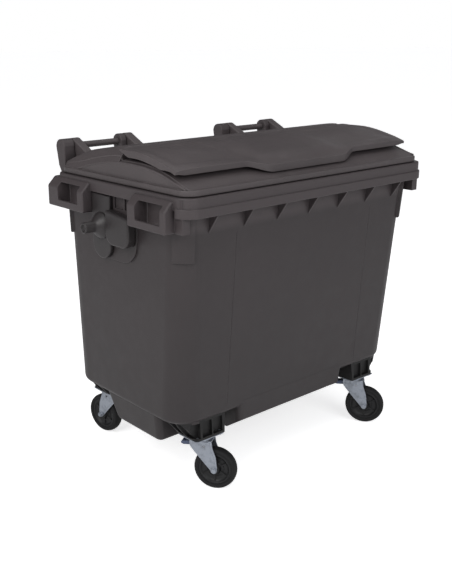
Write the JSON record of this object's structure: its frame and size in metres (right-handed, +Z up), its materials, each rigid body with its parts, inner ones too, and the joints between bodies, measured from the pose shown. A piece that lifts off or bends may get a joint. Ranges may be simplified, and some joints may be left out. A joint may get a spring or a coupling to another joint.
{
  "type": "four-wheeled wheelie bin",
  "caption": "Four-wheeled plastic refuse container with a curved main lid, an inner flap set in it, side lifting trunnions, a comb rim and swivel castors with foot brakes.",
  "frame": {"origin": "on the ground under the middle of the overall box", "axes": "+X along the long side towards the right-hand trunnion seen from the front, +Y from the comb rim at the front towards the lid hinge at the back, +Z up"},
  "size_m": [1.37, 0.8449, 1.2345],
  "materials": {
    "body_plastic": "dark warm grey moulded polyethylene, satin with fine texture",
    "lid_plastic": "dark warm grey moulded polyethylene, satin, a little lighter than the body",
    "trunnion_plastic": "dark grey moulded plastic, satin",
    "zinc": "bright zinc-plated pressed steel",
    "steel": "plain steel",
    "wheel_plastic": "black moulded plastic",
    "tyre": "black solid rubber",
    "pedal_plastic": "bluish grey moulded plastic",
    "seal_rubber": "black rubber"
  },
  "bodies": {
    "container": {"body_shell": "body_plastic", "lid_hinge_bar_left": "lid_plastic", "lid_hinge_bar_right": "lid_plastic", "trunnion_bracket_left": "trunnion_plastic", "trunnion_bracket_right": "trunnion_plastic", "trunnion_pin_left": "trunnion_plastic", "trunnion_pin_right": "trunnion_plastic", "trunnion_nut_left": "steel", "trunnion_nut_right": "steel", "drain_seal": "seal_rubber", "castor_plate_fl": "zinc", "swivel_race_fl": "steel", "kingpin_fl": "steel", "castor_plate_fr": "zinc", "swivel_race_fr": "steel", "kingpin_fr": "steel", "castor_plate_rl": "zinc", "swivel_race_rl": "steel", "kingpin_rl": "steel", "castor_plate_rr": "zinc", "swivel_race_rr": "steel", "kingpin_rr": "steel"},
    "lid": {"main_lid": "lid_plastic", "flap_hinge_pin_left": "steel", "flap_hinge_pin_right": "steel"},
    "flap": {"inner_flap": "lid_plastic"},
    "plug": {"drain_plug": "wheel_plastic"},
    "brake_fl": {"brake_pedal_fl": "pedal_plastic", "brake_shoe_fl": "steel"},
    "swivel_fl": {"fork_fl": "zinc", "axle_bolt_fl": "steel", "axle_nut_fl": "steel", "hub_bush_fl": "steel", "brake_pin_fl": "steel"},
    "wheel_fl": {"wheel_core_fl": "wheel_plastic", "tyre_fl": "tyre"},
    "brake_fr": {"brake_pedal_fr": "pedal_plastic", "brake_shoe_fr": "steel"},
    "swivel_fr": {"fork_fr": "zinc", "axle_bolt_fr": "steel", "axle_nut_fr": "steel", "hub_bush_fr": "steel", "brake_pin_fr": "steel"},
    "wheel_fr": {"wheel_core_fr": "wheel_plastic", "tyre_fr": "tyre"},
    "swivel_rl": {"fork_rl": "zinc", "axle_bolt_rl": "steel", "axle_nut_rl": "steel", "hub_bush_rl": "steel"},
    "wheel_rl": {"wheel_core_rl": "wheel_plastic", "tyre_rl": "tyre"},
    "swivel_rr": {"fork_rr": "zinc", "axle_bolt_rr": "steel", "axle_nut_rr": "steel", "hub_bush_rr": "steel"},
    "wheel_rr": {"wheel_core_rr": "wheel_plastic", "tyre_rr": "tyre"}
  },
  "joints": [
    {"name": "lid_hinge", "type": "hinge", "parent": "container", "child": "lid", "pos_m": [0, 0.3925, 1.195], "axis": [-1, 0, 0], "range_deg": [0, 220]},
    {"name": "flap_hinge", "type": "hinge", "parent": "lid", "child": "flap", "pos_m": [0, -0.0415, 1.2245], "axis": [-1, 0, 0], "range_deg": [0, 105]},
    {"name": "drain_plug_pull", "type": "slide", "parent": "container", "child": "plug", "axis": [0, 0, -1], "range_m": [0, 0.04]},
    {"name": "castor_swivel_fl", "type": "hinge", "parent": "container", "child": "swivel_fl", "pos_m": [-0.424, -0.2675, 0.195], "axis": [0, 0, 1], "continuous": true},
    {"name": "wheel_spin_fl", "type": "hinge", "parent": "swivel_fl", "child": "wheel_fl", "pos_m": [-0.39404, -0.31363, 0.08], "axis": [0.8387, 0.5446, 0], "continuous": true},
    {"name": "brake_press_fl", "type": "hinge", "parent": "swivel_fl", "child": "brake_fl", "pos_m": [-0.4142, -0.2826, 0.171], "axis": [0.8387, 0.5446, 0], "range_deg": [-7, 0], "stiffness_Nm_per_rad": 2},
    {"name": "castor_swivel_fr", "type": "hinge", "parent": "container", "child": "swivel_fr", "pos_m": [0.424, -0.2675, 0.195], "axis": [0, 0, 1], "continuous": true},
    {"name": "wheel_spin_fr", "type": "hinge", "parent": "swivel_fr", "child": "wheel_fr", "pos_m": [0.45395, -0.31363, 0.08], "axis": [0.8387, 0.5446, 0], "continuous": true},
    {"name": "brake_press_fr", "type": "hinge", "parent": "swivel_fr", "child": "brake_fr", "pos_m": [0.4338, -0.2826, 0.171], "axis": [0.8387, 0.5446, 0], "range_deg": [-7, 0], "stiffness_Nm_per_rad": 2},
    {"name": "castor_swivel_rl", "type": "hinge", "parent": "container", "child": "swivel_rl", "pos_m": [-0.424, 0.2825, 0.195], "axis": [0, 0, 1], "continuous": true},
    {"name": "wheel_spin_rl", "type": "hinge", "parent": "swivel_rl", "child": "wheel_rl", "pos_m": [-0.43355, 0.33666, 0.08], "axis": [-0.9848, -0.1736, 0], "continuous": true},
    {"name": "castor_swivel_rr", "type": "hinge", "parent": "container", "child": "swivel_rr", "pos_m": [0.424, 0.2825, 0.195], "axis": [0, 0, 1], "continuous": true},
    {"name": "wheel_spin_rr", "type": "hinge", "parent": "swivel_rr", "child": "wheel_rr", "pos_m": [0.41445, 0.33666, 0.08], "axis": [-0.9848, -0.1736, 0], "continuous": true}
  ]
}
